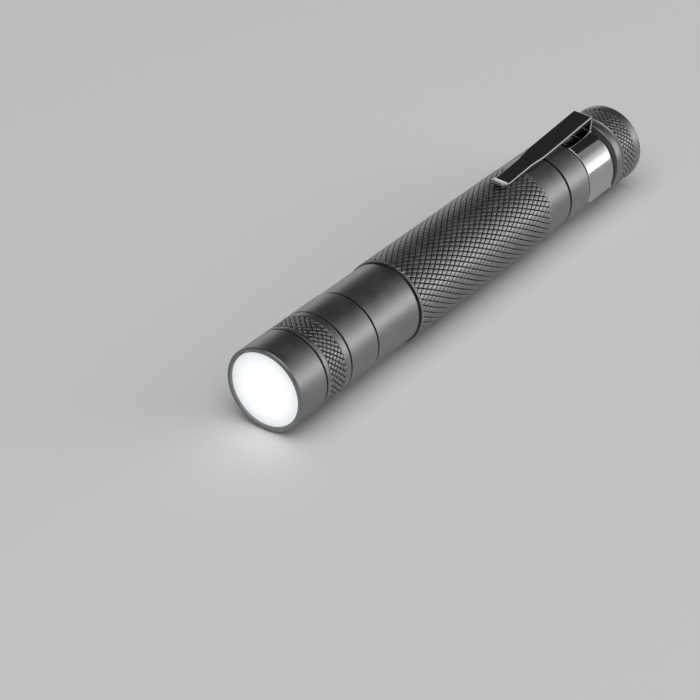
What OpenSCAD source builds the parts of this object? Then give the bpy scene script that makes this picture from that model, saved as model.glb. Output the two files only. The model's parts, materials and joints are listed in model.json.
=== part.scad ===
// Pocket penlight for one AAA cell, with a sliding focus head, a pocket clip and a tail switch.
// It lies along Y, with its lens towards -Y and its clip on top. The origin is under the middle of the
// light, on the surface that it lies on. Stations run along the axis from the front rim to the tail.

/* [Head] */
// Outside diameter of the bezel and the head
head_d = 14; // [13.6:0.1:15.5]
// Length of the bezel, from the front rim to the groove behind it
bezel_len = 6.35; // [5.5:0.05:8]
// Rounding of the front rim of the bezel
bezel_round = 0.3; // [0.1:0.05:0.4]
// Wall of the bezel around the lens
bezel_wall = 0.45; // [0.35:0.05:0.6]
// Radial width of the lip that holds the lens
lip_w = 0.28; // [0.2:0.02:0.4]
// Length of the lip
lip_len = 0.8; // [0.6:0.1:1.2]
// How far the lens sits behind the front rim
lens_recess = 0.35; // [0.1:0.05:0.6]
// Thickness of the seal between the lip and the lens
lens_seal_t = 0.4; // [0.3:0.05:0.6]
// Thickness of the flange of the lens
lens_flange_t = 1.2; // [0.8:0.1:1.6]
// Radial step from the bore of the head to the cone of the lens
lens_step = 0.4; // [0.2:0.05:0.8]
// Diameter of the rear end of the lens
lens_rear_d = 6; // [5.4:0.1:7]
// Wall of the head around the piston
head_wall = 1; // [0.9:0.05:1.2]
// Width of the two grooves of the head
head_groove_w = 0.4; // [0.3:0.05:0.8]
// Depth of the groove behind the knurled ring
head_groove_depth = 0.2; // [0.1:0.05:0.4]
// Length of the knurled ring of the head
head_ring_len = 5.85; // [4.5:0.05:7]
// Length of the smooth skirt of the head
head_skirt_len = 6.62; // [6:0.01:8]
// Length of the ring that stops the head
stop_ring_len = 1.4; // [1:0.1:2]
// Depth of the seat of the stop ring in the wall of the head
stop_seat = 0.45; // [0.3:0.05:0.6]
// How far the stop ring lies inside the rear end of the head
stop_inset = 0.12; // [0.05:0.01:0.3]
// Travel of the head
focus_travel = 5; // [3.5:0.1:5.5]

/* [Neck] */
// Radial step from the piston to the tube of the neck
piston_step = 0.45; // [0.3:0.05:0.6]
// Length of the piston that guides the head
piston_len = 3.4; // [3:0.1:4]
// Wall of the tube of the neck around the LED pillar
neck_wall = 0.9; // [0.8:0.05:1.3]
// Visible gap between the head and the collar
head_gap = 0.45; // [0.2:0.05:0.8]
// Diameter of the collar
collar_d = 13.8; // [13.2:0.1:15]
// Length of the collar
collar_len = 11.18; // [8:0.01:14]
// Width of the groove between the collar and the grip
relief_w = 0.4; // [0.2:0.05:0.8]
// Depth of the pocket for the LED pillar
pillar_pocket = 3; // [2.4:0.1:3.4]
// Bore for the wires
wire_bore_d = 4; // [3.2:0.1:5]
// Length of the end of the neck that screws into the barrel
neck_thread_len = 5.75; // [4.5:0.05:6.2]
// Depth of the front thread of the barrel outside the bore of the cell
front_thread_step = 0.5; // [0.4:0.05:0.7]
// Wall of the neck around the driver
driver_wall = 0.9; // [0.8:0.05:1.1]
// Thickness of the round seals
seal_cs = 0.7; // [0.5:0.05:0.75]

/* [LED and driver] */
// Diameter of the post that carries the LED
post_d = 3.4; // [3:0.1:3.8]
// Length of the post in front of its base
post_len = 3.5; // [3:0.1:3.8]
// Thickness of the base of the LED pillar
pillar_base_t = 2.7; // [2:0.1:2.9]
// Gap between the post and the well of the lens
well_gap = 0.35; // [0.2:0.05:0.5]
// Gap between the dome of the LED and the end of the well
dome_gap = 1; // [0.3:0.05:1.1]
// Thickness of the LED's board
led_board_t = 0.5; // [0.4:0.05:0.7]
// Width of the LED's square package
led_w = 2.2; // [1.8:0.1:2.6]
// Thickness of the LED's package
led_t = 0.5; // [0.4:0.05:0.7]
// Diameter of the LED's dome
dome_d = 2; // [1.4:0.1:2.1]
// Diameter of the wires
wire_d = 0.5; // [0.3:0.05:0.6]
// Distance between the two wires
wire_spacing = 2; // [1.4:0.1:2.2]
// Clearance round each wire
wire_gap = 0.05; // [0.03:0.01:0.1]
// Distance from the front of the barrel to the driver board
driver_inset = 1.3; // [1.2:0.05:1.8]
// Thickness of the driver board
driver_t = 1; // [0.8:0.1:1.6]
// Width of the ring that retains the driver board
driver_ring_w = 0.75; // [0.5:0.05:0.9]
// Length of the ring that retains the driver board
driver_ring_len = 1.2; // [0.8:0.1:1.8]
// Diameter of the positive contact
contact_d = 3.2; // [2.6:0.1:3.6]
// Length of the positive contact
contact_len = 3.05; // [2.5:0.05:4]
// Width of each component on the driver board
component_w = 1.4; // [1:0.1:1.6]
// Height of the tallest component on the driver board
component_h = 1.1; // [0.6:0.1:1.4]

/* [Barrel] */
// Diameter over the knurled grip
grip_d = 14.3; // [13.8:0.1:15.5]
// Length of the knurled grip
grip_len = 38.82; // [34:0.01:42]
// Diameter of the smooth tail end of the barrel
tail_d = 14.1; // [13.9:0.1:15.3]
// Distance from the groove in the smooth tail end to the slot of the clip's band
line_inset = 5.82; // [4:0.01:7]
// Width of the groove in the smooth tail end
line_w = 0.5; // [0.3:0.05:0.8]
// Depth of the groove in the smooth tail end
line_depth = 0.25; // [0.1:0.05:0.5]
// Depth of the rear thread of the barrel outside the bore of the cell
rear_thread_step = 0.3; // [0.2:0.05:0.35]
// Width of the visible gap between the clip's band and the tail cap
tail_gap_w = 1.42; // [1.2:0.01:2]
// Width of the rib behind the clip's band
rib_w = 0.3; // [0.2:0.05:0.4]
// Height of the rib behind the clip's band
rib_h = 0.35; // [0.2:0.05:0.45]
// Height of the tail seal above its seat
tail_seal_h = 0.45; // [0.3:0.05:0.5]

/* [Cell] */
// Diameter of the cell
cell_d = 10.4; // [10:0.1:10.5]
// Length of the cell with its positive nub
cell_len = 44.5; // [43.3:0.1:44.5]
// Diameter of the positive nub
nub_d = 3.8; // [3:0.1:4]
// Length of the positive nub
nub_len = 1; // [0.8:0.1:1.4]
// Wall of the can of the cell
can_wall = 0.25; // [0.2:0.05:0.4]
// Depth of the insulator that closes the front of the can
insulator_t = 0.8; // [0.5:0.1:1.5]
// Clearance round the cell
cell_gap = 0.25; // [0.15:0.05:0.3]

/* [Clip] */
// Thickness of the steel strip
strip_t = 0.5; // [0.4:0.05:0.55]
// Width of the clip's band along the light
band_w = 7.85; // [6:0.05:9]
// Angle that the clip's band covers
band_angle = 215; // [200:5:260]
// Gap at each side of the band in its slot
band_gap = 0.08; // [0.05:0.01:0.15]
// Height of the outer face of the arm above the axis, at its rear end
arm_height = 9.9; // [8.8:0.1:11]
// Distance from the rear end of the arm to where it meets the grip
arm_len = 25.2; // [21:0.1:30]
// Width of the arm at its rear end
arm_w = 3.6; // [3:0.1:5]
// Width of the arm at its tip
tip_w = 2.8; // [2:0.05:3]
// Distance from the rear end of the arm to where it begins to narrow
taper_start = 15; // [8:0.1:17]
// Length over which the arm narrows
taper_len = 4.6; // [3:0.1:6]
// Middle radius of the bend at the rear end of the arm
bend_r = 0.55; // [0.4:0.05:1]
// Middle radius of the curl at the tip
curl_r = 5; // [0.6:0.1:6]
// Angle of the curl at the tip
curl_angle = 30; // [20:5:80]
// Gap between the tip of the arm and the grip
tip_gap = 0.12; // [0.1:0.01:0.3]
// Turn of the clip about the axis, from straight up towards +X
clip_turn = 4; // [0:0.1:10]

/* [Tail] */
// Diameter of the tail cap
cap_d = 14; // [13.6:0.1:15]
// Length of the visible part of the tail cap
cap_len = 8.05; // [7.6:0.05:10]
// Rounding of the end of the tail cap
cap_round = 0.5; // [0.3:0.1:1.2]
// Thickness of the end wall of the tail cap
cap_end_t = 2.4; // [2:0.1:2.8]
// Gap between the barrel and the tail cap
cap_gap = 0.15; // [0.1:0.01:0.3]
// Length of the end of the tail cap that screws into the barrel
cap_thread_len = 7.2; // [6.9:0.1:8]
// Wall of that end
cap_thread_wall = 0.8; // [0.6:0.05:0.9]
// Room in the barrel ahead of the tail cap
cap_room = 1.5; // [0.5:0.1:2]
// Length of the spring between the cell and the switch
spring_len = 4.9; // [4:0.1:6]
// Thickness of the wire of that spring
spring_wire_d = 0.5; // [0.4:0.05:0.6]
// Coil radius of that spring at the cell
spring_front_r = 2.2; // [1.6:0.1:2.4]
// Coil radius of that spring at the switch
spring_rear_r = 3.1; // [2.6:0.1:3.2]
// Turns of that spring
spring_turns = 4; // [3:1:4]
// How far the switch reaches into the barrel
switch_reach = 5.7; // [5.2:0.1:6]
// Thickness of the negative contact of the switch
switch_contact_t = 0.4; // [0.3:0.05:0.6]
// Width of the ring that retains the switch
switch_ring_w = 0.8; // [0.6:0.05:1]
// Length of the ring that retains the switch
switch_ring_len = 1.2; // [0.8:0.1:1.4]
// Thickness of the front wall of the switch housing
switch_wall = 1.6; // [1:0.1:2.5]
// Diameter of the plunger of the switch
plunger_d = 4.4; // [3.6:0.1:5]
// Length of the plunger inside the switch housing
plunger_in = 3.6; // [3:0.1:4]
// Thickness of the wire of the switch spring
switch_wire_d = 0.3; // [0.2:0.05:0.35]
// Turns of the switch spring
switch_turns = 3; // [2:1:3]
// Diameter of the tail button
button_d = 7.24; // [6:0.02:7.6]
// How far the button stands out of the tail cap
button_proud = 1.1; // [0.6:0.1:2]
// Rounding of the end of the button
button_round = 0.6; // [0.3:0.1:0.9]
// Thickness of the flange that keeps the button in
button_flange_t = 0.7; // [0.5:0.05:1]
// Gap between the flange of the pressed button and the switch housing
button_room = 0.3; // [0.2:0.05:0.5]
// Travel of the button
button_travel = 1.5; // [1:0.1:1.8]
// Thickness of the seal round the button
button_seal_cs = 0.6; // [0.4:0.05:0.7]

/* [Fits] */
// Radial clearance of pieces that slide or turn on each other
run_gap = 0.05; // [0.03:0.01:0.08]
// Radial clearance of pieces that are screwed or pressed together
seat_gap = 0.05; // [0.03:0.01:0.08]

/* [Hidden] */

$fn = 96;
anodised = "#858689";
polished = "#c9c9cd";
brass = "#b8935a";
rubber = "#1b1b1d";
plastic = "#2a2a2c";
circuit = "#25503a";

// Radii of the head, from the outside in
head_r = head_d / 2;
bezel_bore_r = head_r - bezel_wall;
lip_r = bezel_bore_r - lip_w;
head_bore_r = head_r - head_wall;
piston_r = head_bore_r - run_gap;
neck_r = piston_r - piston_step;
pillar_pocket_r = neck_r - neck_wall;
lens_flange_r = bezel_bore_r - seat_gap;
lens_boss_r = lip_r - seat_gap;
well_r = post_d / 2 + well_gap;

// Radii of the barrel and the tail, from the cell out
cell_bore_r = cell_d / 2 + cell_gap;
front_thread_r = cell_bore_r + front_thread_step;
neck_thread_r = front_thread_r - seat_gap;
driver_pocket_r = neck_thread_r - driver_wall;
rear_thread_r = cell_bore_r + rear_thread_step;
tail_r = tail_d / 2;
band_out_r = tail_r;
band_in_r = band_out_r - strip_t;
band_seat_r = band_in_r - run_gap - seat_gap;
cap_r = cap_d / 2;
cap_thread_r = rear_thread_r - run_gap;
cap_bore_r = cap_thread_r - cap_thread_wall;
switch_r = cap_bore_r - seat_gap;
plunger_r = plunger_d / 2;
button_r = button_d / 2;
button_flange_r = cap_bore_r - run_gap;

// Stations of the head
shell_s = bezel_len + head_groove_w;
ring_end_s = shell_s + head_ring_len;
skirt_s = ring_end_s + head_groove_w;
head_end_s = skirt_s + head_skirt_len;
flange_s = lip_len + lens_seal_t;
spigot_s = flange_s + lens_flange_t;
stop_end_s = head_end_s - stop_inset;
stop_s = stop_end_s - stop_ring_len;

// Stations of the neck: the piston stops short of the stop ring at the end of the travel
stop_clearance = 0.3;
lens_clearance = 0.6;
piston_end_s = stop_s - stop_clearance - focus_travel;
piston_s = piston_end_s - piston_len;
piston_seal_s = (piston_s + piston_end_s) / 2;
lens_end_s = piston_s - lens_clearance;
pillar_floor_s = piston_s + pillar_pocket;
pillar_s = pillar_floor_s - pillar_base_t;
led_board_end_s = pillar_s - post_len;
led_s = led_board_end_s - led_board_t;
dome_s = led_s - led_t;
well_s = dome_s - dome_d / 2 - dome_gap;
collar_s = head_end_s + head_gap;
barrel_s = collar_s + collar_len;
seal_groove_w = seal_cs + 2 * seat_gap;
body_seal_s = barrel_s + driver_inset / 2;
driver_s = barrel_s + driver_inset;
driver_end_s = driver_s + driver_t;
neck_end_s = barrel_s + neck_thread_len;

// Stations of the barrel and the cell: the barrel is as long as its cell, spring and switch need
cell_s = driver_end_s + contact_len;
can_s = cell_s + nub_len;
cell_end_s = cell_s + cell_len;
grip_end_s = barrel_s + grip_len;
contact_s = cell_end_s + spring_len;
barrel_end_s = contact_s + switch_reach;
band_slot_end_s = barrel_end_s - tail_gap_w;
band_s = band_slot_end_s - band_gap - band_w;
band_slot_s = band_s - band_gap;
line_s = band_slot_s - line_inset - line_w;
rib_end_s = band_slot_end_s + rib_w;
tail_seal_w = tail_gap_w - rib_w - 2 * seat_gap;

// Stations of the tail cap and its switch
cap_s = barrel_end_s + cap_gap;
cap_thread_s = cap_s - cap_thread_len;
rear_thread_s = cap_thread_s - cap_room;
cap_end_s = cap_s + cap_len;
cap_floor_s = cap_end_s - cap_end_t;
switch_s = contact_s + switch_contact_t;
switch_ring_s = switch_s - switch_ring_len;
button_flange_s = cap_floor_s - button_flange_t;
switch_end_s = button_flange_s - button_travel - button_room;
switch_bore_s = switch_s + switch_wall;
plunger_s = switch_end_s - plunger_in;
button_seal_s = (cap_floor_s + cap_end_s) / 2;
length = cap_end_s + button_proud;

// Height of the axis above the surface that the light lies on
axis_h = max(head_r, collar_d / 2, grip_d / 2, tail_r, cap_r);

// Centre line of the clip's arm in stations and heights: foot, rear bend, slope down to the grip, curl
arm_end_s = band_s + band_w - seat_gap;
leg_s = arm_end_s - strip_t / 2;
foot_h = band_out_r + run_gap;
tip_h = grip_d / 2 + tip_gap + strip_t / 2;
arm_top_h = arm_height - strip_t / 2;
tip_s = arm_end_s - arm_len;
arm_slope = atan((arm_top_h - tip_h) / (leg_s - bend_r - tip_s));
bend_steps = 6;
function arc(centre, r, from, to) =
    [for (i = [0:bend_steps]) let (a = from + (to - from) * i / bend_steps) centre + r * [cos(a), sin(a)]];
arm_line = concat(
    [[leg_s, foot_h]],
    arc([leg_s - bend_r, arm_top_h - bend_r], bend_r, 0, 90 + arm_slope),
    arc([tip_s, tip_h + curl_r], curl_r, arm_slope - 90, -90 - curl_angle)
);

// Outline of a strip: its centre line moved half a thickness to each side, square to the line
function direction(line, i) =
    let (d = line[min(i + 1, len(line) - 1)] - line[max(i - 1, 0)]) d / norm(d);
function side(line, gap) =
    [for (i = [0:len(line) - 1]) let (d = direction(line, i)) line[i] + gap * [-d.y, d.x]];
function reversed(list) = [for (i = [len(list) - 1:-1:0]) list[i]];
function strip_outline(line, t) = concat(side(line, t / 2), reversed(side(line, -t / 2)));

// Half width of the arm at a distance from its rear end: a smooth step from the wide part to the tip
function smooth(t) = t * t * (3 - 2 * t);
function arm_half_w(d) =
    arm_w / 2 + (tip_w - arm_w) / 2 * smooth(min(1, max(0, (d - taper_start) / taper_len)));
taper_steps = 8;
arm_distances = concat(
    [-strip_t],
    [for (i = [0:taper_steps]) taper_start + taper_len * i / taper_steps],
    [arm_len + 2 * (curl_r + strip_t)]
);
arm_side = [for (d = arm_distances) [arm_half_w(d), arm_end_s - d]];
arm_plan = concat(arm_side, reversed([for (p = arm_side) [-p.x, p.y]]));

// One unbroken wire wound on a cone, as rings of points joined by triangles
rings_per_turn = 8;
wire_sides = 6;
function wire_ring(r, s, angle, wire_r) =
    [for (k = [0:wire_sides - 1]) let (b = 360 * k / wire_sides, q = r + wire_r * cos(b))
        [q * cos(angle), q * sin(angle), s + wire_r * sin(b)]];
function ring_faces(i) =
    [for (k = [0:wire_sides - 1]) let (a = i * wire_sides + k, b = i * wire_sides + (k + 1) % wire_sides)
        each [[a, b, a + wire_sides], [b, b + wire_sides, a + wire_sides]]];
module coil(front_r, rear_r, s0, s1, wire_d, turns) {
    last = turns * rings_per_turn;
    run = s1 - s0 - wire_d - 2 * seat_gap;
    points = [for (i = [0:last]) each wire_ring(
        front_r + (rear_r - front_r) * i / last,
        s0 + seat_gap + wire_d / 2 + run * i / last,
        360 * i / rings_per_turn, wire_d / 2)];
    front_cap = [for (k = [1:wire_sides - 2]) [0, k + 1, k]];
    rear_cap = [for (k = [1:wire_sides - 2]) [for (j = [0, k, k + 1]) last * wire_sides + j]];
    sides = [for (i = [0:last - 1]) each ring_faces(i)];
    along_axis() polyhedron(points, concat(front_cap, sides, rear_cap));
}

// Places a shape that is drawn along Z at its station on the axis of the light
module along_axis() {
    translate([0, -length / 2, axis_h]) rotate([-90, 0, 0]) children();
}

// A turned piece from its half section of [radius, station] points
module turned(section) {
    along_axis() rotate_extrude() polygon(section);
}

// A turned piece with one corner rounded: the section has that corner cut, and a circle fills it
module turned_round(section, corner_r, corner_s, round_r) {
    along_axis() rotate_extrude() {
        polygon(section);
        translate([corner_r, corner_s]) circle(r = round_r);
    }
}

module ring(in_r, out_r, s0, s1) {
    turned([[in_r, s0], [out_r, s0], [out_r, s1], [in_r, s1]]);
}

module disc(r, s0, s1) {
    ring(0, r, s0, s1);
}

module round_seal(out_r, cs, s) {
    along_axis() rotate_extrude() translate([out_r - cs / 2, s]) circle(d = cs);
}

module bezel() {
    color(anodised) turned_round([
        [lip_r, 0], [head_r - bezel_round, 0], [head_r, bezel_round], [head_r, bezel_len],
        [bezel_bore_r, bezel_len], [bezel_bore_r, lip_len], [lip_r, lip_len]
    ], head_r - bezel_round, bezel_round, bezel_round);
}

module lens_seal() {
    color(rubber) ring(lens_boss_r + seat_gap, bezel_bore_r - seat_gap, lip_len, flange_s);
}

module lens() {
    color("#e9eef2") turned([
        [0, lens_recess], [lens_boss_r, lens_recess], [lens_boss_r, flange_s], [lens_flange_r, flange_s],
        [lens_flange_r, spigot_s], [head_bore_r - lens_step, spigot_s], [lens_rear_d / 2, lens_end_s],
        [well_r, lens_end_s], [well_r, well_s], [0, well_s]
    ]);
}

module head_shell() {
    groove_r = head_r - head_groove_depth;
    stop_seat_r = head_bore_r + stop_seat;
    color(anodised) turned([
        [head_bore_r, spigot_s], [lens_flange_r, spigot_s], [lens_flange_r, shell_s], [head_r, shell_s],
        [head_r, ring_end_s], [groove_r, ring_end_s], [groove_r, skirt_s], [head_r, skirt_s],
        [head_r, head_end_s], [stop_seat_r, head_end_s], [stop_seat_r, stop_s], [head_bore_r, stop_s]
    ]);
}

module head_stop_ring() {
    color(brass) ring(neck_r + run_gap, head_bore_r + stop_seat - seat_gap, stop_s, stop_end_s);
}

module neck() {
    piston_groove_r = piston_r - seal_cs - seat_gap;
    body_groove_r = neck_thread_r - seal_cs - seat_gap;
    relief_r = (collar_d / 2 + neck_thread_r) / 2;
    color(anodised) turned([
        [pillar_pocket_r, piston_s], [piston_r, piston_s],
        [piston_r, piston_seal_s - seal_groove_w / 2], [piston_groove_r, piston_seal_s - seal_groove_w / 2],
        [piston_groove_r, piston_seal_s + seal_groove_w / 2], [piston_r, piston_seal_s + seal_groove_w / 2],
        [piston_r, piston_end_s], [neck_r, piston_end_s], [neck_r, collar_s], [collar_d / 2, collar_s],
        [collar_d / 2, barrel_s - relief_w], [relief_r, barrel_s - relief_w], [relief_r, barrel_s],
        [neck_thread_r, barrel_s],
        [neck_thread_r, body_seal_s - seal_groove_w / 2], [body_groove_r, body_seal_s - seal_groove_w / 2],
        [body_groove_r, body_seal_s + seal_groove_w / 2], [neck_thread_r, body_seal_s + seal_groove_w / 2],
        [neck_thread_r, neck_end_s], [driver_pocket_r, neck_end_s], [driver_pocket_r, driver_s],
        [wire_bore_d / 2, driver_s], [wire_bore_d / 2, pillar_floor_s], [pillar_pocket_r, pillar_floor_s]
    ]);
}

module neck_seal() {
    color(rubber) round_seal(piston_r, seal_cs, piston_seal_s);
}

module wire_pair(d, s0, s1) {
    for (x = [-1, 1] * wire_spacing / 2) {
        along_axis() translate([x, 0, s0]) cylinder(d = d, h = s1 - s0);
    }
}

module led_pillar() {
    base_r = pillar_pocket_r - seat_gap;
    past = 1;
    color("#b9bbbe") difference() {
        turned([
            [0, led_board_end_s], [post_d / 2, led_board_end_s], [post_d / 2, pillar_s],
            [base_r, pillar_s], [base_r, pillar_floor_s], [0, pillar_floor_s]
        ]);
        wire_pair(wire_d + 2 * wire_gap, led_board_end_s - past, pillar_floor_s + past);
    }
}

module led_board() {
    color(circuit) disc(post_d / 2, led_s, led_board_end_s);
}

module led_package() {
    color("#f2efe6") along_axis() translate([-led_w / 2, -led_w / 2, dome_s]) cube([led_w, led_w, led_t]);
}

module led_dome() {
    color("#f6e9a8") along_axis() rotate_extrude() intersection() {
        translate([0, dome_s]) circle(d = dome_d);
        translate([0, dome_s - dome_d]) square(dome_d);
    }
}

module led_wires() {
    color("#a02020") wire_pair(wire_d, led_board_end_s, driver_s);
}

module driver_board() {
    color(circuit) disc(driver_pocket_r - seat_gap, driver_s, driver_end_s);
}

module driver_components() {
    free_in = contact_d / 2;
    free_out = driver_pocket_r - seat_gap - driver_ring_w;
    place_r = (free_in + free_out) / 2;
    count = 4;
    color(plastic) along_axis() for (i = [0:count - 1]) {
        h = component_h * (1 - i / (2 * count));
        rotate([0, 0, 360 * i / count]) translate([place_r - component_w / 2, -component_w / 2, driver_end_s])
            cube([component_w, component_w, h]);
    }
}

module driver_ring() {
    out_r = driver_pocket_r - seat_gap;
    color(brass) ring(out_r - driver_ring_w, out_r, driver_end_s, driver_end_s + driver_ring_len);
}

module positive_contact() {
    color(brass) disc(contact_d / 2, driver_end_s, cell_s);
}

module body_seal() {
    color(rubber) round_seal(neck_thread_r, seal_cs, body_seal_s);
}

module body_tube() {
    line_r = tail_r - line_depth;
    clear_r = max(grip_d / 2, tail_r) + line_depth;
    rib_r = band_seat_r + rib_h;
    color(anodised) difference() {
        turned([
            [front_thread_r, barrel_s], [grip_d / 2, barrel_s], [grip_d / 2, grip_end_s], [tail_r, grip_end_s],
            [tail_r, band_slot_s], [band_seat_r, band_slot_s], [band_seat_r, band_slot_end_s],
            [rib_r, band_slot_end_s], [rib_r, rib_end_s], [band_seat_r, rib_end_s], [band_seat_r, barrel_end_s],
            [rear_thread_r, barrel_end_s], [rear_thread_r, rear_thread_s], [cell_bore_r, rear_thread_s],
            [cell_bore_r, neck_end_s + seat_gap], [front_thread_r, neck_end_s + seat_gap]
        ]);
        ring(line_r, clear_r, line_s, line_s + line_w);
    }
}

module cell_cap() {
    color(polished) disc(nub_d / 2, cell_s, can_s);
}

module cell_insulator() {
    color(plastic) disc(cell_d / 2 - can_wall - seat_gap, can_s, can_s + insulator_t);
}

module cell_can() {
    in_r = cell_d / 2 - can_wall;
    color("#8f9297") turned([
        [in_r, can_s], [cell_d / 2, can_s], [cell_d / 2, cell_end_s], [0, cell_end_s],
        [0, cell_end_s - can_wall], [in_r, cell_end_s - can_wall]
    ]);
}

module cell_core() {
    color("#4b4640") disc(cell_d / 2 - can_wall - seat_gap, can_s + insulator_t, cell_end_s - can_wall);
}

module tail_seal() {
    in_r = band_seat_r + seat_gap;
    round_r = min(tail_seal_h, tail_seal_w / 2) / 2;
    s0 = rib_end_s + seat_gap;
    s1 = s0 + tail_seal_w;
    color(rubber) along_axis() rotate_extrude() {
        translate([in_r, s0]) square([tail_seal_h - round_r, tail_seal_w]);
        translate([in_r, s0 + round_r]) square([tail_seal_h, tail_seal_w - 2 * round_r]);
        for (s = [s0 + round_r, s1 - round_r]) translate([in_r + tail_seal_h - round_r, s]) circle(r = round_r);
    }
}

module clip_band() {
    up = -90;
    color(polished) along_axis() rotate([0, 0, up + clip_turn - band_angle / 2])
        rotate_extrude(angle = band_angle) translate([band_in_r, band_s]) square([strip_t, band_w]);
}

module clip_arm() {
    tall = 4 * arm_height;
    color(polished) translate([0, 0, axis_h]) rotate([0, clip_turn, 0]) translate([0, -length / 2, 0])
        intersection() {
            rotate([90, 0, 90]) linear_extrude(2 * arm_w, center = true)
                polygon(strip_outline(arm_line, strip_t));
            linear_extrude(tall) polygon(arm_plan);
        }
}

module negative_spring() {
    color(polished) coil(spring_front_r, spring_rear_r, cell_end_s, contact_s, spring_wire_d, spring_turns);
}

module switch_ring() {
    color(brass) ring(switch_r - switch_ring_w, switch_r, switch_ring_s, switch_s);
}

module switch_contact() {
    color(brass) disc(switch_r - switch_ring_w - seat_gap, contact_s, switch_s);
}

module switch_housing() {
    bore_r = plunger_r + run_gap;
    color(plastic) turned([
        [0, switch_s], [switch_r, switch_s], [switch_r, switch_end_s], [bore_r, switch_end_s],
        [bore_r, switch_bore_s], [0, switch_bore_s]
    ]);
}

module switch_spring() {
    coil_r = plunger_r - switch_wire_d;
    color(polished) coil(coil_r, coil_r, switch_bore_s, plunger_s, switch_wire_d, switch_turns);
}

module switch_plunger() {
    color("#7a2a2a") disc(plunger_r, plunger_s, button_flange_s);
}

module tail_cap() {
    hole_r = button_r + run_gap;
    color(anodised) turned_round([
        [cap_bore_r, cap_thread_s], [cap_thread_r, cap_thread_s], [cap_thread_r, cap_s], [cap_r, cap_s],
        [cap_r, cap_end_s - cap_round], [cap_r - cap_round, cap_end_s], [hole_r, cap_end_s],
        [hole_r, cap_floor_s], [cap_bore_r, cap_floor_s]
    ], cap_r - cap_round, cap_end_s - cap_round, cap_round);
}

module tail_button() {
    groove_r = button_r - button_seal_cs - seat_gap;
    groove_w = button_seal_cs + 2 * seat_gap;
    color(rubber) turned_round([
        [0, button_flange_s], [button_flange_r, button_flange_s], [button_flange_r, cap_floor_s],
        [button_r, cap_floor_s], [button_r, button_seal_s - groove_w / 2],
        [groove_r, button_seal_s - groove_w / 2], [groove_r, button_seal_s + groove_w / 2],
        [button_r, button_seal_s + groove_w / 2], [button_r, length - button_round],
        [button_r - button_round, length], [0, length]
    ], button_r - button_round, length - button_round, button_round);
}

module button_seal() {
    color(rubber) round_seal(button_r, button_seal_cs, button_seal_s);
}

bezel();
lens_seal();
lens();
head_shell();
head_stop_ring();
neck();
neck_seal();
led_pillar();
led_board();
led_package();
led_dome();
led_wires();
driver_board();
driver_components();
driver_ring();
positive_contact();
body_seal();
body_tube();
cell_cap();
cell_insulator();
cell_can();
cell_core();
tail_seal();
clip_band();
clip_arm();
negative_spring();
switch_ring();
switch_contact();
switch_housing();
switch_spring();
tail_cap();
switch_plunger();
tail_button();
button_seal();
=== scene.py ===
"""A slim pocket penlight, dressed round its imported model: turned and knurled metal, steel clip, lit lens.

Sizes are in millimetres, as on a drawing: r is a radius about the light's axis, s is a station along it,
counted from the front rim, and turn is an angle in degrees from the top towards +X. The frame is in metres.
"""
import json
import math

import bmesh
import bpy
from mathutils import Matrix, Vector


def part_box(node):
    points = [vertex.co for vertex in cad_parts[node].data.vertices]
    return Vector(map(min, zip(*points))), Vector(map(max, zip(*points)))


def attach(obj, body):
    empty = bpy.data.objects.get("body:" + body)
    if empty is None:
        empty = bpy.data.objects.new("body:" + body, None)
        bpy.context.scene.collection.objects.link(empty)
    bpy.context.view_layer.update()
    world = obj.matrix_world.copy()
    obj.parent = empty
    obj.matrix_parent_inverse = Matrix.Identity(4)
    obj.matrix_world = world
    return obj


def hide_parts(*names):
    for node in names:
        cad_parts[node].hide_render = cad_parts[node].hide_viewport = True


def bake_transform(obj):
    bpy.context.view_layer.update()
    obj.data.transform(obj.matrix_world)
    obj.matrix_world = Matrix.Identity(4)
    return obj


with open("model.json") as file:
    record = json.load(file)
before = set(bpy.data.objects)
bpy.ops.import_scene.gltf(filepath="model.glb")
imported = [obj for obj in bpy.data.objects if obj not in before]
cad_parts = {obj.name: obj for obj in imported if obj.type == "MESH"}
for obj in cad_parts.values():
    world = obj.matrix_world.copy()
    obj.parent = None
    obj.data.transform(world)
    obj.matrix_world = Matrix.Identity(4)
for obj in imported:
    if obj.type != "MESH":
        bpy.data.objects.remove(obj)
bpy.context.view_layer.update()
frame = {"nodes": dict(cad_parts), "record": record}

MM = 0.001
LENGTH = 101.0
AXIS_HEIGHT = 7.15
FACETS = 90


def spot(r, s, turn=0.0):
    """The place of a radius, a station and a turn, in the frame."""
    a = math.radians(turn)
    return Vector((r * math.sin(a), s - LENGTH / 2, AXIS_HEIGHT + r * math.cos(a))) * MM


def station(place):
    return place.y / MM + LENGTH / 2


def height(place):
    """Height above the axis."""
    return place.z / MM - AXIS_HEIGHT


# Camera at the photograph's angle
VIEW_FROM = Vector((0.4949, -0.6902, 0.5280)).normalized()
VIEW_TARGET = Vector((-19.4, -1.5, -17.55)) * MM
VIEW_DISTANCE = 415.7 * MM

camera_data = bpy.data.cameras.new("camera")
camera_data.sensor_width = 36
camera_data.lens = 124.46
camera_data.clip_start = 0.01
camera = bpy.data.objects.new("camera", camera_data)
bpy.context.scene.collection.objects.link(camera)
camera.location = VIEW_TARGET + VIEW_DISTANCE * VIEW_FROM
camera.rotation_euler = (-VIEW_FROM).to_track_quat("-Z", "Y").to_euler()
bpy.context.scene.camera = camera


# Modelling, as by hand in edit mode

def open_for_editing(name):
    """Names the primitive that was just added, puts its place into its mesh and opens it."""
    piece = bpy.context.object
    piece.name = name
    bpy.ops.object.transform_apply(location=True, rotation=True, scale=True)
    bpy.ops.object.mode_set(mode="EDIT")
    return piece


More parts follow.
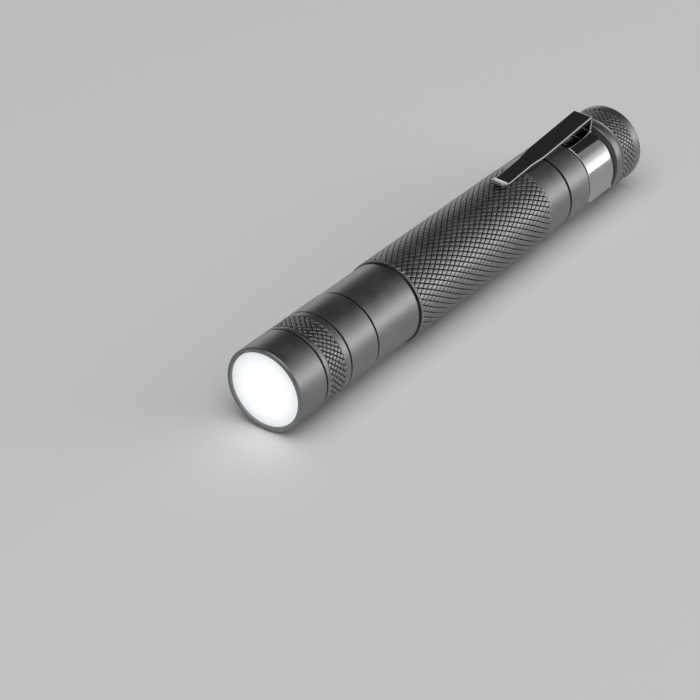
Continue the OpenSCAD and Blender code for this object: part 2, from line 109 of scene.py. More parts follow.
def select_only(*pieces):
    """Selects these pieces and no others; the last one is the active one."""
    bpy.ops.object.select_all(action="DESELECT")
    for piece in pieces:
        piece.select_set(True)
    bpy.context.view_layer.objects.active = pieces[-1]


def reopen(piece):
    """Opens one finished piece again, with nothing selected in it."""
    select_only(piece)
    bpy.ops.object.mode_set(mode="EDIT")
    bpy.ops.mesh.select_all(action="DESELECT")


def done():
    bpy.ops.object.mode_set(mode="OBJECT")


def grow(step):
    """Extrudes what is selected by one step."""
    bpy.ops.mesh.extrude_region_move(TRANSFORM_OT_translate={"value": step})


def weld():
    """Merges points of the open piece that lie in one place."""
    bpy.ops.mesh.select_all(action="SELECT")
    bpy.ops.mesh.remove_doubles(threshold=0.001 * MM)


def face_outwards():
    """Selects the whole of the open piece and turns its faces outwards."""
    bpy.ops.mesh.select_all(action="SELECT")
    bpy.ops.mesh.normals_make_consistent(inside=False)


def pick_edges(piece, wanted):
    """Selects the edges that a test accepts, and no others."""
    bpy.ops.mesh.select_mode(type="EDGE")
    bpy.ops.mesh.select_all(action="DESELECT")
    mesh = bmesh.from_edit_mesh(piece.data)
    for edge in mesh.edges:
        if wanted(edge):
            edge.select_set(True)
    bmesh.update_edit_mesh(piece.data)


def pick_faces(piece, wanted):
    """Selects the faces that a test accepts, and no others."""
    bpy.ops.mesh.select_mode(type="FACE")
    bpy.ops.mesh.select_all(action="DESELECT")
    mesh = bmesh.from_edit_mesh(piece.data)
    for face in mesh.faces:
        if wanted(face):
            face.select_set(True)
    bmesh.update_edit_mesh(piece.data)


def draw_section(name, section, turn=0.0):
    """Draws a half section point by point, each extruded from the last, and leaves the piece open."""
    bpy.ops.object.select_all(action="DESELECT")
    bpy.ops.mesh.primitive_plane_add(size=MM, location=spot(*section[0], turn))
    piece = open_for_editing(name)
    bpy.ops.mesh.select_mode(type="VERT")
    bpy.ops.mesh.merge(type="CENTER")
    for here, there in zip(section, section[1:]):
        step = spot(*there, turn) - spot(*here, turn)
        bpy.ops.mesh.extrude_vertices_move(TRANSFORM_OT_translate={"value": step})
    return piece


def turn_on_axis(name, section):
    """A turned piece: its half section is spun a full turn about the axis of the light."""
    piece = draw_section(name, section)
    bpy.ops.mesh.select_all(action="SELECT")
    bpy.ops.mesh.spin(steps=FACETS, angle=math.tau, center=spot(0, 0), axis=(0, 1, 0))
    weld()
    face_outwards()
    done()
    return piece


def break_edges(piece, width, segments=2):
    """Takes the sharpness off the edges, as a deburring tool does."""
    bevel = piece.modifiers.new("broken_edges", "BEVEL")
    bevel.width = width * MM
    bevel.segments = segments
    bevel.limit_method = "ANGLE"
    bevel.angle_limit = math.radians(40)
    bpy.context.view_layer.objects.active = piece
    bpy.ops.object.modifier_apply(modifier=bevel.name)


def store_groove_depth(piece, outer_r, depth, s0, s1):
    """Stores on the mesh how deep each point between two stations lies in a groove, 0 to 1, which the
    anodised look turns into painted shade.
    """
    name = "groove_depth"
    stored = piece.data.attributes.get(name) or piece.data.attributes.new(name, "FLOAT", "POINT")
    for vertex, value in zip(piece.data.vertices, stored.data):
        if s0 < station(vertex.co) < s1:
            value.value = (outer_r - math.hypot(vertex.co.x / MM, height(vertex.co))) / depth


def knurl_sleeve(name, s0, s1, valley_r, crest_r, starts, rows, flank_w):
    """A diamond knurl as an open sleeve: each diamond has a flat top and lies between crossing V grooves.

    The grooves run out at both ends, where the sleeve is as wide as its crests.
    """
    flank_share, top_round = 0.88, 0.05
    bpy.ops.object.select_all(action="DESELECT")
    bpy.ops.mesh.primitive_circle_add(
        vertices=starts, radius=valley_r * MM, location=spot(0, s0), rotation=(math.pi / 2, 0, 0))
    piece = open_for_editing(name)
    for _ in range(rows):
        grow((0, (s1 - s0) / rows * MM, 0))
    face_outwards()
    bpy.ops.mesh.poke()

    def is_square_to_axis_or_along_it(edge):
        a, b = (v.co for v in edge.verts)
        along = abs(a.y - b.y)
        return not edge.is_boundary and (along < 1e-3 * MM or (a - b).length - along < 1e-4 * MM)

    pick_edges(piece, is_square_to_axis_or_along_it)
    bpy.ops.mesh.dissolve_edges(use_verts=False)
    bpy.ops.mesh.select_mode(type="FACE")
    bpy.ops.mesh.select_all(action="SELECT")
    rise = crest_r - valley_r
    bpy.ops.mesh.inset(thickness=flank_w * MM, depth=flank_share * rise * MM, use_individual=True)
    bpy.ops.mesh.inset(thickness=top_round * MM, depth=(1 - flank_share) * rise * MM, use_individual=True)
    pick_edges(piece, lambda edge: edge.is_boundary)
    runout = crest_r / valley_r
    bpy.ops.transform.resize(value=(runout, 1, runout), center_override=spot(0, s0))
    done()
    store_groove_depth(piece, crest_r, rise, s0, s1)
    return piece


def join_sleeve(piece, sleeve, s0, s1):
    """Makes one closed mesh of a turned piece and its knurl, by bridging the rims at the sleeve's ends."""
    select_only(sleeve, piece)
    bpy.ops.object.join()
    reopen(piece)
    for s in (s0, s1):
        pick_edges(piece, lambda e: e.is_boundary and all(abs(station(v.co) - s) < 0.15 for v in e.verts))
        bpy.ops.mesh.bridge_edge_loops()
    face_outwards()
    done()


def arc(r, s, radius, first, last, steps=6):
    """Points of a round in a section: its centre, its radius and its angles from the outward direction."""
    angles = [math.radians(first + (last - first) * i / steps) for i in range(steps + 1)]
    return [(r + radius * math.cos(a), s + radius * math.sin(a)) for a in angles]


def finish(piece, body, slot, *replaced):
    """Shades a piece, gives it the look of its slot, and puts it on its body in place of its nodes."""
    done()
    select_only(piece)
    bpy.ops.object.shade_smooth_by_angle(angle=math.radians(32))
    level = piece.modifiers.new("level_faces", "WEIGHTED_NORMAL")
    level.keep_sharp = True
    bpy.ops.object.modifier_apply(modifier=level.name)
    piece.data.materials.clear()
    piece.data.materials.append(LOOKS[slot])
    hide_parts(*replaced)
    if body:
        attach(piece, body)


# Effects that several finishes share

def new_group(name, inputs, outputs):
    """An empty node group with named value sockets, and its two end nodes."""
    group = bpy.data.node_groups.new(name, "ShaderNodeTree")
    for socket in inputs:
        group.interface.new_socket(socket, in_out="INPUT", socket_type="NodeSocketFloat")
    for socket in outputs:
        group.interface.new_socket(socket, in_out="OUTPUT", socket_type="NodeSocketFloat")
    return group, group.nodes.new("NodeGroupInput"), group.nodes.new("NodeGroupOutput")


def make_grain():
    """Fine grain for a bump, and slow patches for colour and roughness."""
    group, given, result = new_group("surface_grain", ["Grain Scale", "Patch Scale"], ["Grain", "Patch"])
    place = group.nodes.new("ShaderNodeTexCoord")
    for given_name, result_name, detail in (("Grain Scale", "Grain", 3), ("Patch Scale", "Patch", 4)):
        noise = group.nodes.new("ShaderNodeTexNoise")
        noise.inputs["Detail"].default_value = detail
        group.links.new(place.outputs["Object"], noise.inputs["Vector"])
        group.links.new(given.outputs[given_name], noise.inputs["Scale"])
        group.links.new(noise.outputs["Fac"], result.inputs[result_name])
    return group


def make_turning_marks():
    """Fine rings left by the lathe: a noise that changes along the axis only."""
    group, given, result = new_group("turning_marks", ["Ring Scale"], ["Rings"])
    place = group.nodes.new("ShaderNodeTexCoord")
    parts = group.nodes.new("ShaderNodeSeparateXYZ")
    noise = group.nodes.new("ShaderNodeTexNoise")
    noise.noise_dimensions = "1D"
    noise.inputs["Detail"].default_value = 2
    group.links.new(place.outputs["Object"], parts.inputs["Vector"])
    group.links.new(parts.outputs["Y"], noise.inputs["W"])
    group.links.new(given.outputs["Ring Scale"], noise.inputs["Scale"])
    group.links.new(noise.outputs["Fac"], result.inputs["Rings"])
    return group


def make_painted_edge_highlight():
    """A painted highlight where edges stand out, broken up by patches, so that only some edges catch it."""
    group, given, result = new_group("painted_edge_highlight", ["Start", "Full", "Patch"], ["Wear"])
    shape = group.nodes.new("ShaderNodeNewGeometry")
    edges = group.nodes.new("ShaderNodeMapRange")
    broken = group.nodes.new("ShaderNodeMath")
    broken.operation = "MULTIPLY"
    group.links.new(shape.outputs["Pointiness"], edges.inputs["Value"])
    group.links.new(given.outputs["Start"], edges.inputs["From Min"])
    group.links.new(given.outputs["Full"], edges.inputs["From Max"])
    group.links.new(edges.outputs["Result"], broken.inputs[0])
    group.links.new(given.outputs["Patch"], broken.inputs[1])
    group.links.new(broken.outputs["Value"], result.inputs["Wear"])
    return group


GRAIN = make_grain()
TURNING_MARKS = make_turning_marks()
PAINTED_EDGE_HIGHLIGHT = make_painted_edge_highlight()


def place_group(tree, group, **values):
    """Puts a shared effect into a look's tree and sets its values."""
    node = tree.nodes.new("ShaderNodeGroup")
    node.node_tree = group
    for socket, value in values.items():
        node.inputs[socket.replace("_", " ")].default_value = value
    return node


def new_look(name):
    """A material with its node tree and its Principled shader."""
    look = bpy.data.materials.new(name)
    look.use_nodes = True
    return look, look.node_tree, look.node_tree.nodes["Principled BSDF"]


def blend_colours(tree, factor, low, high):
    """A colour between two, by a factor from another node."""
    mix = tree.nodes.new("ShaderNodeMix")
    mix.data_type = "RGBA"
    for socket, value in (("A", low), ("B", high)):
        side = next(i for i in mix.inputs if i.name == socket and i.type == "RGBA")
        if isinstance(value, bpy.types.NodeSocket):
            tree.links.new(value, side)
        else:
            side.default_value = (*value, 1)
    tree.links.new(factor, mix.inputs[0])
    return next(o for o in mix.outputs if o.type == "RGBA")


def span(tree, value, low, high, from_low=0.3, from_high=0.7):
    """A value spread over a range."""
    node = tree.nodes.new("ShaderNodeMapRange")
    node.inputs["From Min"].default_value = from_low
    node.inputs["From Max"].default_value = from_high
    node.inputs["To Min"].default_value = low
    node.inputs["To Max"].default_value = high
    tree.links.new(value, node.inputs["Value"])
    return node.outputs["Result"]


def add_bump(tree, shader, value, strength, depth):
    bump = tree.nodes.new("ShaderNodeBump")
    bump.inputs["Strength"].default_value = strength
    bump.inputs["Distance"].default_value = depth * MM
    tree.links.new(value, bump.inputs["Height"])
    tree.links.new(bump.outputs["Normal"], shader.inputs["Normal"])


def grained_look(name, low, high, metallic, rough, grain_mm, patch_mm, bump, bump_depth=0.01):
    """A look whose colour and roughness drift in patches, over a fine grain."""
    look, tree, shader = new_look(name)
    grain = place_group(tree, GRAIN, Grain_Scale=1 / (grain_mm * MM), Patch_Scale=1 / (patch_mm * MM))
    shader.inputs["Metallic"].default_value = metallic
    tree.links.new(blend_colours(tree, span(tree, grain.outputs["Patch"], 0, 1), low, high),
                   shader.inputs["Base Color"])
    tree.links.new(span(tree, grain.outputs["Patch"], *rough), shader.inputs["Roughness"])
    add_bump(tree, shader, grain.outputs["Grain"], bump, bump_depth)
    return look


def turned_look(name, low, high, rough, ring_mm, bump):
    """A bare turned metal with the rings of the lathe on it."""
    look, tree, shader = new_look(name)
    marks = place_group(tree, TURNING_MARKS, Ring_Scale=1 / (ring_mm * MM))
    shader.inputs["Metallic"].default_value = 1
    tree.links.new(blend_colours(tree, span(tree, marks.outputs["Rings"], 0, 1), low, high),
                   shader.inputs["Base Color"])
    tree.links.new(span(tree, marks.outputs["Rings"], *rough), shader.inputs["Roughness"])
    add_bump(tree, shader, marks.outputs["Rings"], bump, 0.01)
    return look


def anodised_look():
    """Bead-blasted aluminium under a grey dye, with a painted highlight on standing edges and painted shade
    in grooves and knurl valleys.
    """
    look, tree, shader = new_look("anodised")
    grain = place_group(tree, GRAIN, Grain_Scale=1 / (0.12 * MM), Patch_Scale=1 / (2.5 * MM))
    # Painted highlight: standing edges are lightened towards pale metal in patches, as if light caught them.
    edge_highlight = place_group(tree, PAINTED_EDGE_HIGHLIGHT, Start=0.52, Full=0.62)
    tree.links.new(grain.outputs["Patch"], edge_highlight.inputs["Patch"])
    patches = span(tree, grain.outputs["Patch"], 0, 1)
    dye = blend_colours(tree, patches, (0.225, 0.226, 0.232), (0.255, 0.256, 0.262))
    highlit = blend_colours(tree, edge_highlight.outputs["Wear"], dye, (0.4, 0.4, 0.405))
    # Painted shade: the base colour darkens to near black down in grooves and knurl valleys, where shade
    # falls.
    groove = tree.nodes.new("ShaderNodeAttribute")
    groove.attribute_name = "groove_depth"
    painted_groove_shade = span(tree, groove.outputs["Fac"], 0, 1, 0.15, 0.8)
    tree.links.new(blend_colours(tree, painted_groove_shade, highlit, (0.03, 0.03, 0.031)), shader.inputs["Base Color"])
    tree.links.new(span(tree, grain.outputs["Patch"], 0.36, 0.43), shader.inputs["Roughness"])
    shader.inputs["Metallic"].default_value = 1
    add_bump(tree, shader, grain.outputs["Grain"], 0.2, 0.008)
    return look


def lit_optic_look():
    """Clear moulded plastic, lit from behind over the whole of its front face, with painted shade towards
    its rim.
    """
    look, tree, shader = new_look("optic")
    place = tree.nodes.new("ShaderNodeTexCoord")
    parts = tree.nodes.new("ShaderNodeSeparateXYZ")
    tree.links.new(place.outputs["Object"], parts.inputs["Vector"])
    front, lit_to, dark_from, core_r, rim_r = -LENGTH / 2, 1.0, 2.2, 4.2, 6.3
    lit = span(tree, parts.outputs["Y"], 1, 0, (front + lit_to) * MM, (front + dark_from) * MM)
    axis = tree.nodes.new("ShaderNodeCombineXYZ")
    axis.inputs["Z"].default_value = AXIS_HEIGHT * MM
    tree.links.new(parts.outputs["Y"], axis.inputs["Y"])
    radius = tree.nodes.new("ShaderNodeVectorMath")
    radius.operation = "DISTANCE"
    tree.links.new(place.outputs["Object"], radius.inputs[0])
    tree.links.new(axis.outputs["Vector"], radius.inputs[1])
    # Painted shade: the glow dims towards the rim of the lens, to show its curve, and takes a faint green
    # tint there.
    rim = span(tree, radius.outputs["Value"], 0, 1, core_r * MM, rim_r * MM)
    glow = blend_colours(tree, rim, (0.88, 0.9, 0.92), (0.62, 0.66, 0.66))
    tree.links.new(blend_colours(tree, lit, (0.02, 0.02, 0.02), glow), shader.inputs["Emission Color"])
    grain = place_group(tree, GRAIN, Grain_Scale=1 / (0.3 * MM), Patch_Scale=1 / (3 * MM))
    tree.links.new(span(tree, grain.outputs["Patch"], 0.04, 0.09), shader.inputs["Roughness"])
    shader.inputs["Base Color"].default_value = (0.2, 0.21, 0.22, 1)
    shader.inputs["Emission Strength"].default_value = 1.0
    shader.inputs["IOR"].default_value = 1.49
    return look


LOOKS = {
    "anodised": anodised_look(),
    "bare_aluminium": turned_look(
        "bare_aluminium", (0.52, 0.53, 0.54), (0.62, 0.63, 0.64), (0.28, 0.42), 0.12, 0.3),
    "polished_steel": grained_look(
        "polished_steel", (0.4, 0.4, 0.41), (0.46, 0.46, 0.47), 1, (0.05, 0.11), 0.4, 4, 0.04),
    "spring_steel": grained_look(
        "spring_steel", (0.42, 0.42, 0.43), (0.56, 0.56, 0.57), 1, (0.22, 0.34), 0.1, 1.2, 0.2),
    "cell_steel": turned_look("cell_steel", (0.42, 0.43, 0.45), (0.52, 0.53, 0.55), (0.24, 0.36), 0.3, 0.2),
    "cell_filling": grained_look(
        "cell_filling", (0.05, 0.048, 0.045), (0.09, 0.085, 0.08), 0, (0.75, 0.92), 0.08, 0.8, 0.7),
    "brass": turned_look("brass", (0.62, 0.44, 0.19), (0.72, 0.54, 0.27), (0.25, 0.4), 0.1, 0.3),
    "optic": lit_optic_look(),
    "led_ceramic": grained_look(
        "led_ceramic", (0.78, 0.77, 0.74), (0.86, 0.85, 0.82), 0, (0.5, 0.65), 0.05, 0.5, 0.3),
    "led_silicone": grained_look(
        "led_silicone", (0.75, 0.62, 0.18), (0.85, 0.74, 0.3), 0, (0.12, 0.22), 0.2, 0.6, 0.1),
    "circuit_board": grained_look(
        "circuit_board", (0.012, 0.07, 0.03), (0.03, 0.13, 0.06), 0, (0.3, 0.45), 0.08, 0.7, 0.3),
    "wire_insulation": grained_look(
        "wire_insulation", (0.3, 0.02, 0.02), (0.42, 0.04, 0.04), 0, (0.35, 0.5), 0.1, 1, 0.2),
    "black_plastic": grained_look(
        "black_plastic", (0.018, 0.018, 0.019), (0.032, 0.032, 0.033), 0, (0.45, 0.6), 0.12, 1.5, 0.4),
    "plunger_plastic": grained_look(
        "plunger_plastic", (0.3, 0.03, 0.03), (0.42, 0.055, 0.055), 0, (0.3, 0.42), 0.15, 1.5, 0.2),
    "button_rubber": grained_look(
        "button_rubber", (0.018, 0.018, 0.02), (0.034, 0.034, 0.036), 0, (0.6, 0.78), 0.1, 1.2, 0.6),
    "rubber": grained_look(
        "rubber", (0.012, 0.012, 0.013), (0.024, 0.024, 0.025), 0, (0.5, 0.7), 0.1, 1, 0.5),
}

for subpart in frame["record"]["subparts"]:
    node = frame["nodes"][subpart["node"]]
    node.data.materials.clear()
    node.data.materials.append(LOOKS[subpart["material_slot"]])


# Head: a bezel, and the barrel that slides on the neck

HEAD_R = 7.0


def make_bezel():
    lip_r, bore_r, rim_round = 6.27, 6.55, 0.3
    front_rim = arc(HEAD_R - rim_round, rim_round, rim_round, -90, 0)
    section = [
        (lip_r, 0), *front_rim, (HEAD_R, 6.35), (bore_r, 6.35), (bore_r, 0.8), (lip_r, 0.8), (lip_r, 0),
    ]
    piece = turn_on_axis("front_bezel", section)
    break_edges(piece, 0.04)
    finish(piece, "focus_head", "anodised", "bezel")


def make_head():
    knurl, front_groove, rear_groove, groove_depth = (7.38, 11.5), (6.36, 6.76), (12.6, 13.0), 0.2
    bore_r, skirt_bore_r, bezel_thread_r, front_floor_r, rear_floor_r = 6.0, 6.45, 6.5, 6.8, 6.78
    section = [
        (HEAD_R, 11.54), (HEAD_R, 12.6), (rear_floor_r, 12.66), (rear_floor_r, 12.94), (HEAD_R, 13.0),
        (HEAD_R, 19.62), (skirt_bore_r, 19.62), (skirt_bore_r, 18.1), (bore_r, 18.1), (bore_r, 2.4),
        (bezel_thread_r, 2.4), (bezel_thread_r, 6.37), (front_floor_r, 6.4), (front_floor_r, 6.7),
        (HEAD_R, 6.75), (HEAD_R, 7.34),
    ]
    piece = turn_on_axis("focus_barrel", section)
    break_edges(piece, 0.04)
    for groove in (front_groove, rear_groove):
        store_groove_depth(piece, HEAD_R, groove_depth, *groove)
    sleeve = knurl_sleeve("head_knurl", *knurl, 6.84, HEAD_R, starts=43, rows=4, flank_w=0.115)
    join_sleeve(piece, sleeve, *knurl)
    finish(piece, "focus_head", "anodised", "head_shell")


# Barrel: the neck with its collar, and the knurled grip

def make_neck():
    piston_r, tube_r, collar_r, relief_r, thread_r = 5.95, 5.5, 6.9, 6.4, 5.9
    cup_r, wire_bore_r, driver_bore_r, neck_seal_r, body_seal_r = 4.6, 2.0, 5.0, 5.2, 5.15
    section = [
        (cup_r, 9.4), (piston_r, 9.4), (piston_r, 10.7), (neck_seal_r, 10.7), (neck_seal_r, 11.5),
        (piston_r, 11.5), (piston_r, 12.8), (tube_r, 12.8), (tube_r, 20.07), (collar_r, 20.07),
        (collar_r, 30.85), (relief_r, 30.85), (relief_r, 31.25), (thread_r, 31.25), (thread_r, 31.5),
        (body_seal_r, 31.5), (body_seal_r, 32.3), (thread_r, 32.3), (thread_r, 37.0), (driver_bore_r, 37.0),
        (driver_bore_r, 32.55), (wire_bore_r, 32.55), (wire_bore_r, 12.4), (cup_r, 12.4), (cup_r, 9.4),
    ]
    piece = turn_on_axis("slide_neck", section)
    break_edges(piece, 0.06)
    finish(piece, "barrel", "anodised", "neck")


def make_grip():
    knurl, line_groove = (31.3, 70.02), (75.9, 76.5)
    neck_bore_r, cell_bore_r, cap_bore_r = 5.95, 5.45, 5.75
    rim_r, ledge_r, groove_r, seat_r, flange_r = 7.13, 7.05, 6.8, 6.45, 6.8
    section = [
        (rim_r, 31.25), (neck_bore_r, 31.25), (neck_bore_r, 37.05), (cell_bore_r, 37.05),
        (cell_bore_r, 83.15), (cap_bore_r, 83.15), (cap_bore_r, 91.7), (seat_r, 91.7), (seat_r, 90.58),
        (flange_r, 90.58), (flange_r, 90.28), (seat_r, 90.28), (seat_r, 82.22), (ledge_r, 82.22),
        (ledge_r, 76.46), (groove_r, 76.46), (groove_r, 75.94), (ledge_r, 75.94), (ledge_r, 70.2),
        (rim_r, 70.08),
    ]
    piece = turn_on_axis("grip_barrel", section)
    break_edges(piece, 0.05)
    store_groove_depth(piece, ledge_r, ledge_r - groove_r, *line_groove)
    sleeve = knurl_sleeve("grip_knurl", *knurl, 6.96, 7.14, starts=44, rows=22, flank_w=0.1)
    join_sleeve(piece, sleeve, *knurl)
    finish(piece, "barrel", "anodised", "body_tube")


# Tail: the cap with its lip, knurl and rounded end, and the rubber button

def make_tail_cap():
    knurl, crest_r = (94.08, 98.06), 6.98
    button_hole_r, switch_bore_r, thread_r, end = 3.67, 4.9, 5.7, 99.9
    lip = [
        (6.76, 91.85), (6.9, 91.98), (6.97, 92.3), (7.0, 92.8), (6.97, 93.25), (6.9, 93.55), (6.8, 93.72),
        (6.8, 93.86), (6.97, 94.02),
    ]
    section = [
        (crest_r, 98.12), (7.0, 98.42), *arc(6.5, 99.4, 0.5, 0, 90), (6.35, end),
        (button_hole_r + 0.15, end), (button_hole_r, end), (button_hole_r, 97.5), (switch_bore_r, 97.5),
        (switch_bore_r, 84.65), (thread_r, 84.65), (thread_r, 91.85), *lip,
    ]
    piece = turn_on_axis("tail_cover", section)
    break_edges(piece, 0.04)
    sleeve = knurl_sleeve("tail_knurl", *knurl, 6.82, crest_r, starts=42, rows=4, flank_w=0.115)
    join_sleeve(piece, sleeve, *knurl)
    finish(piece, "tail", "anodised", "tail_cap")


def make_button():
    button_r, flange_r, seal_r, top_round = 3.62, 4.85, 2.97, 0.6
    dished_top = [(2.6, 100.92), (2.3, 100.86), (1.9, 100.9), (1.0, 100.98), (0, LENGTH)]
    section = [
        (0, 96.8), (flange_r, 96.8), (flange_r, 97.5), (button_r, 97.5), (button_r, 98.35), (seal_r, 98.35),
        (seal_r, 99.05), (button_r, 99.05), (button_r, 100.3),
        *arc(button_r - top_round, 100.3, top_round, 0, 75), *dished_top,
    ]
    piece = turn_on_axis("rubber_button", section)
    break_edges(piece, 0.06)
    finish(piece, "button", "button_rubber", "tail_button")


def make_return_spring():
    """The spring under the button: a wire wound along the axis, at one length; in the light it shortens as
    the button goes in.
    """
    wire_d, wire_sides, coil_r, turns, steps_per_turn = 0.3, 12, 1.9, 3, 32
    front, back = (station(Vector(corner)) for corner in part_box("switch_spring"))
    bpy.ops.object.select_all(action="DESELECT")
    bpy.ops.mesh.primitive_circle_add(
        vertices=wire_sides, radius=wire_d / 2 * MM, location=spot(coil_r, front + wire_d / 2),
        rotation=(0, math.pi / 2, 0))
    piece = bpy.context.object
    piece.name = "return_spring"
    bpy.ops.object.transform_apply(location=False, rotation=True, scale=True)
    bpy.context.scene.cursor.location = spot(0, front)
    bpy.ops.object.origin_set(type="ORIGIN_CURSOR")
    wound = piece.modifiers.new("wound", "SCREW")
    wound.axis = "Y"
    wound.angle = math.tau
    wound.iterations = turns
    wound.steps = wound.render_steps = steps_per_turn
    wound.screw_offset = (back - front - wire_d) / turns * MM
    bpy.ops.object.modifier_apply(modifier=wound.name)
    bpy.ops.object.transform_apply(location=True, rotation=True, scale=True)
    reopen(piece)
    pick_edges(piece, lambda edge: edge.is_boundary)
    bpy.ops.mesh.fill_holes(sides=0)
    face_outwards()
    finish(piece, None, "spring_steel", "switch_spring")
    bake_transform(piece)


# Clip: one strip of steel, a band round the barrel with an arm that rises from it and runs forward

CLIP_TURN = 4.0
BAND_COLUMNS = 63


def make_clip():
    strip, band_in, band_mid, band_out = 0.5, 6.55, 6.8, 7.05
    arm_back, arm_front, band_front, band_angle = 90.2, 64.9, 82.5, 204.8
    wide, narrow, taper_from, taper_to, taper_steps = 3.6, 2.8, 15.0, 19.6, 8
    band = [
        (band_in, band_front), (band_in, arm_back), (band_out, arm_back), (band_out, arm_back - strip),
        (band_out, band_front), (band_in, band_front),
    ]
    piece = draw_section("pocket_clip", band, turn=band_angle / 2)
    weld()
    bpy.ops.mesh.spin(steps=BAND_COLUMNS, angle=math.radians(band_angle), center=spot(0, 0), axis=(0, 1, 0))
    weld()
    bpy.ops.mesh.fill_holes(sides=0)
    face_outwards()

    flare_turn, flare_steps, near = 1.7, (0.05, 0.1, 0.17), 0.3
    corners = band[:-1]
    end_r, end_s = (sum(values) / len(corners) for values in zip(*corners))
    for end in (-1, 1):
        turn = end * band_angle / 2
        middle = spot(end_r, end_s, turn)
        pick_faces(piece, lambda face: (face.calc_center_median() - middle).length < near * MM)
        for outwards in flare_steps:
            step = spot(band_mid + outwards, 0, turn + flare_turn * end) - spot(band_mid, 0, turn)
            grow(step)
            turn += flare_turn * end

    def is_foot(face):
        place = face.calc_center_median()
        on_top = height(place) > band_mid and face.normal.z > 0.9
        return on_top and station(place) > arm_back - strip and abs(place.x) < wide / 2 * MM

    pick_faces(piece, is_foot)

    def swing(angle, r, s):
        bpy.ops.transform.rotate(value=math.radians(angle), orient_axis="X", center_override=spot(r, s))

    def widen(factor):
        bpy.ops.transform.resize(value=(factor, 1, 1), center_override=spot(0, arm_back))

    bend_r, bend_h, bend_steps, slope = 0.55, 9.1, 8, 4.97
    bend_s = arm_back - strip / 2 - bend_r
    grow((0, 0, (bend_h - band_out) * MM))
    bpy.ops.transform.resize(value=(1, 1, 0), center_override=spot(bend_h, arm_back))
    for _ in range(bend_steps):
        grow((0, 0, 0))
        swing(-(90 + slope) / bend_steps, bend_h, bend_s)

    ahead = Vector((0, -math.cos(math.radians(slope)), -math.sin(math.radians(slope)))) * MM
    grow(ahead * (taper_from - strip / 2 - bend_r))
    width = wide
    for i in range(1, taper_steps + 1):
        t = i / taper_steps
        wanted = wide + (narrow - wide) * t * t * (3 - 2 * t)
        grow(ahead * ((taper_to - taper_from) / taper_steps))
        widen(wanted / width)
        width = wanted
    grow(ahead * (arm_back - taper_to - arm_front))
    curl_steps, curl_r, curl_angle, tip_h = 8, 5.0, 30, 7.52
    for _ in range(curl_steps):
        grow((0, 0, 0))
        swing((curl_angle + slope) / curl_steps, tip_h + curl_r, arm_front)

    bpy.ops.mesh.select_all(action="SELECT")
    bpy.ops.transform.rotate(value=-math.radians(CLIP_TURN), orient_axis="Y", center_override=spot(0, 0))
    face_outwards()
    done()
    break_edges(piece, 0.15, 3)
    finish(piece, None, "polished_steel", "clip_band", "clip_arm")
    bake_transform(piece)


make_bezel()
make_head()
make_neck()
make_grip()
make_tail_cap()
make_button()
make_return_spring()
make_clip()


# Studio: a pale floor, a large softbox behind on the right, a low one on the left and a broad one above

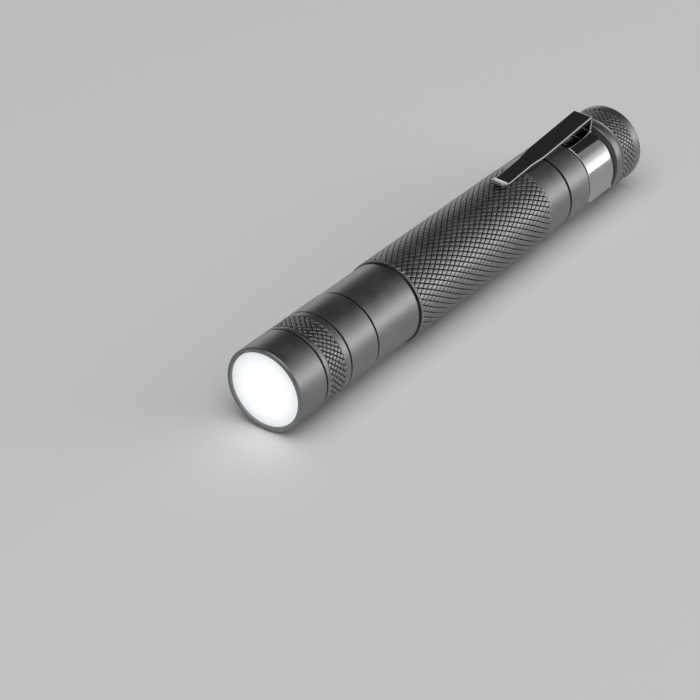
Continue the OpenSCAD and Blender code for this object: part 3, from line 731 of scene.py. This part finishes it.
def make_floor():
    """A round floor whose rim sweeps up; far from the light it shows one even grey, for low views."""
    floor_r, rim_r = 2.2, 2.4
    bpy.ops.object.select_all(action="DESELECT")
    bpy.ops.mesh.primitive_circle_add(vertices=96, radius=floor_r, fill_type="NGON", location=(0, 0, 0))
    floor = open_for_editing("studio_floor")
    pick_edges(floor, lambda edge: edge.is_boundary)
    for out, rise in ((0.12, 0.02), (0.1, 0.06), (0.07, 0.1), (0.03, 0.14), (0, 0.4)):
        grow((0, 0, rise))
        wider = 1 + out / rim_r
        bpy.ops.transform.resize(value=(wider, wider, 1), center_override=(0, 0, 0))
    done()
    bpy.ops.object.shade_smooth()
    look, tree, shader = new_look("studio_floor")
    shader.inputs["Roughness"].default_value = 0.7
    shader.inputs["Specular IOR Level"].default_value = 0.1
    shader.inputs["Emission Color"].default_value = (0.54, 0.54, 0.54, 1)
    away = tree.nodes.new("ShaderNodeVectorMath")
    away.operation = "LENGTH"
    tree.links.new(tree.nodes.new("ShaderNodeNewGeometry").outputs["Position"], away.inputs[0])
    far = span(tree, away.outputs["Value"], 0, 1, 0.2, 0.45)
    pale = blend_colours(tree, far, (0.86, 0.86, 0.86), (0.02, 0.02, 0.02))
    tree.links.new(pale, shader.inputs["Base Color"])

    def combine(operation, a, b):
        node = tree.nodes.new("ShaderNodeMath")
        node.operation = operation
        tree.links.new(a, node.inputs[0])
        tree.links.new(b, node.inputs[1])
        return node.outputs["Value"]

    rays = tree.nodes.new("ShaderNodeLightPath").outputs
    seen = combine("MAXIMUM", rays["Is Camera Ray"], rays["Is Glossy Ray"])
    seen = combine("MAXIMUM", seen, rays["Is Transmission Ray"])
    tree.links.new(combine("MULTIPLY", seen, far), shader.inputs["Emission Strength"])
    floor.data.materials.append(look)


def make_softbox(name, place, aim, width, tall, radiance, fade=1.0):
    """An area light with level edges; fade is the share of its brightness left in its upper half."""
    light = bpy.data.lights.new(name, "AREA")
    light.shape = "RECTANGLE"
    light.size, light.size_y = width, tall
    light.energy = radiance * math.pi * width * tall
    light.use_nodes = True
    tree = light.node_tree
    shape = tree.nodes.new("ShaderNodeNewGeometry")
    parts = tree.nodes.new("ShaderNodeSeparateXYZ")
    tree.links.new(shape.outputs["Parametric"], parts.inputs["Vector"])
    level = span(tree, parts.outputs["Y"], 1, fade, 0, 0.55)
    level.node.interpolation_type = "SMOOTHSTEP"
    tree.links.new(level, tree.nodes["Emission"].inputs["Strength"])
    lamp = bpy.data.objects.new(name, light)
    bpy.context.scene.collection.objects.link(lamp)
    lamp.location = place
    lamp.rotation_euler = (Vector(place) - Vector(aim)).to_track_quat("Z", "Y").to_euler()
    lamp.visible_camera = False


make_floor()
make_softbox("softbox_right", (0.5, 0.8, 0.6), (0, 0.8, 0.6), 1.4, 1.16, radiance=1.95, fade=0.2)
make_softbox("softbox_left", (-0.62, 0.6, 0.12), (0, 0, 0.02), 1.0, 0.2, radiance=0.75)
make_softbox("softbox_above", (0.2, -0.45, 1.2), (0, 0, 0), 1.5, 1.5, radiance=1.75)

world = bpy.data.worlds.new("studio")
world.use_nodes = True
world.node_tree.nodes["Background"].inputs["Color"].default_value = (0.04, 0.04, 0.042, 1)
bpy.context.scene.world = world
bpy.context.scene.view_settings.view_transform = "Standard"
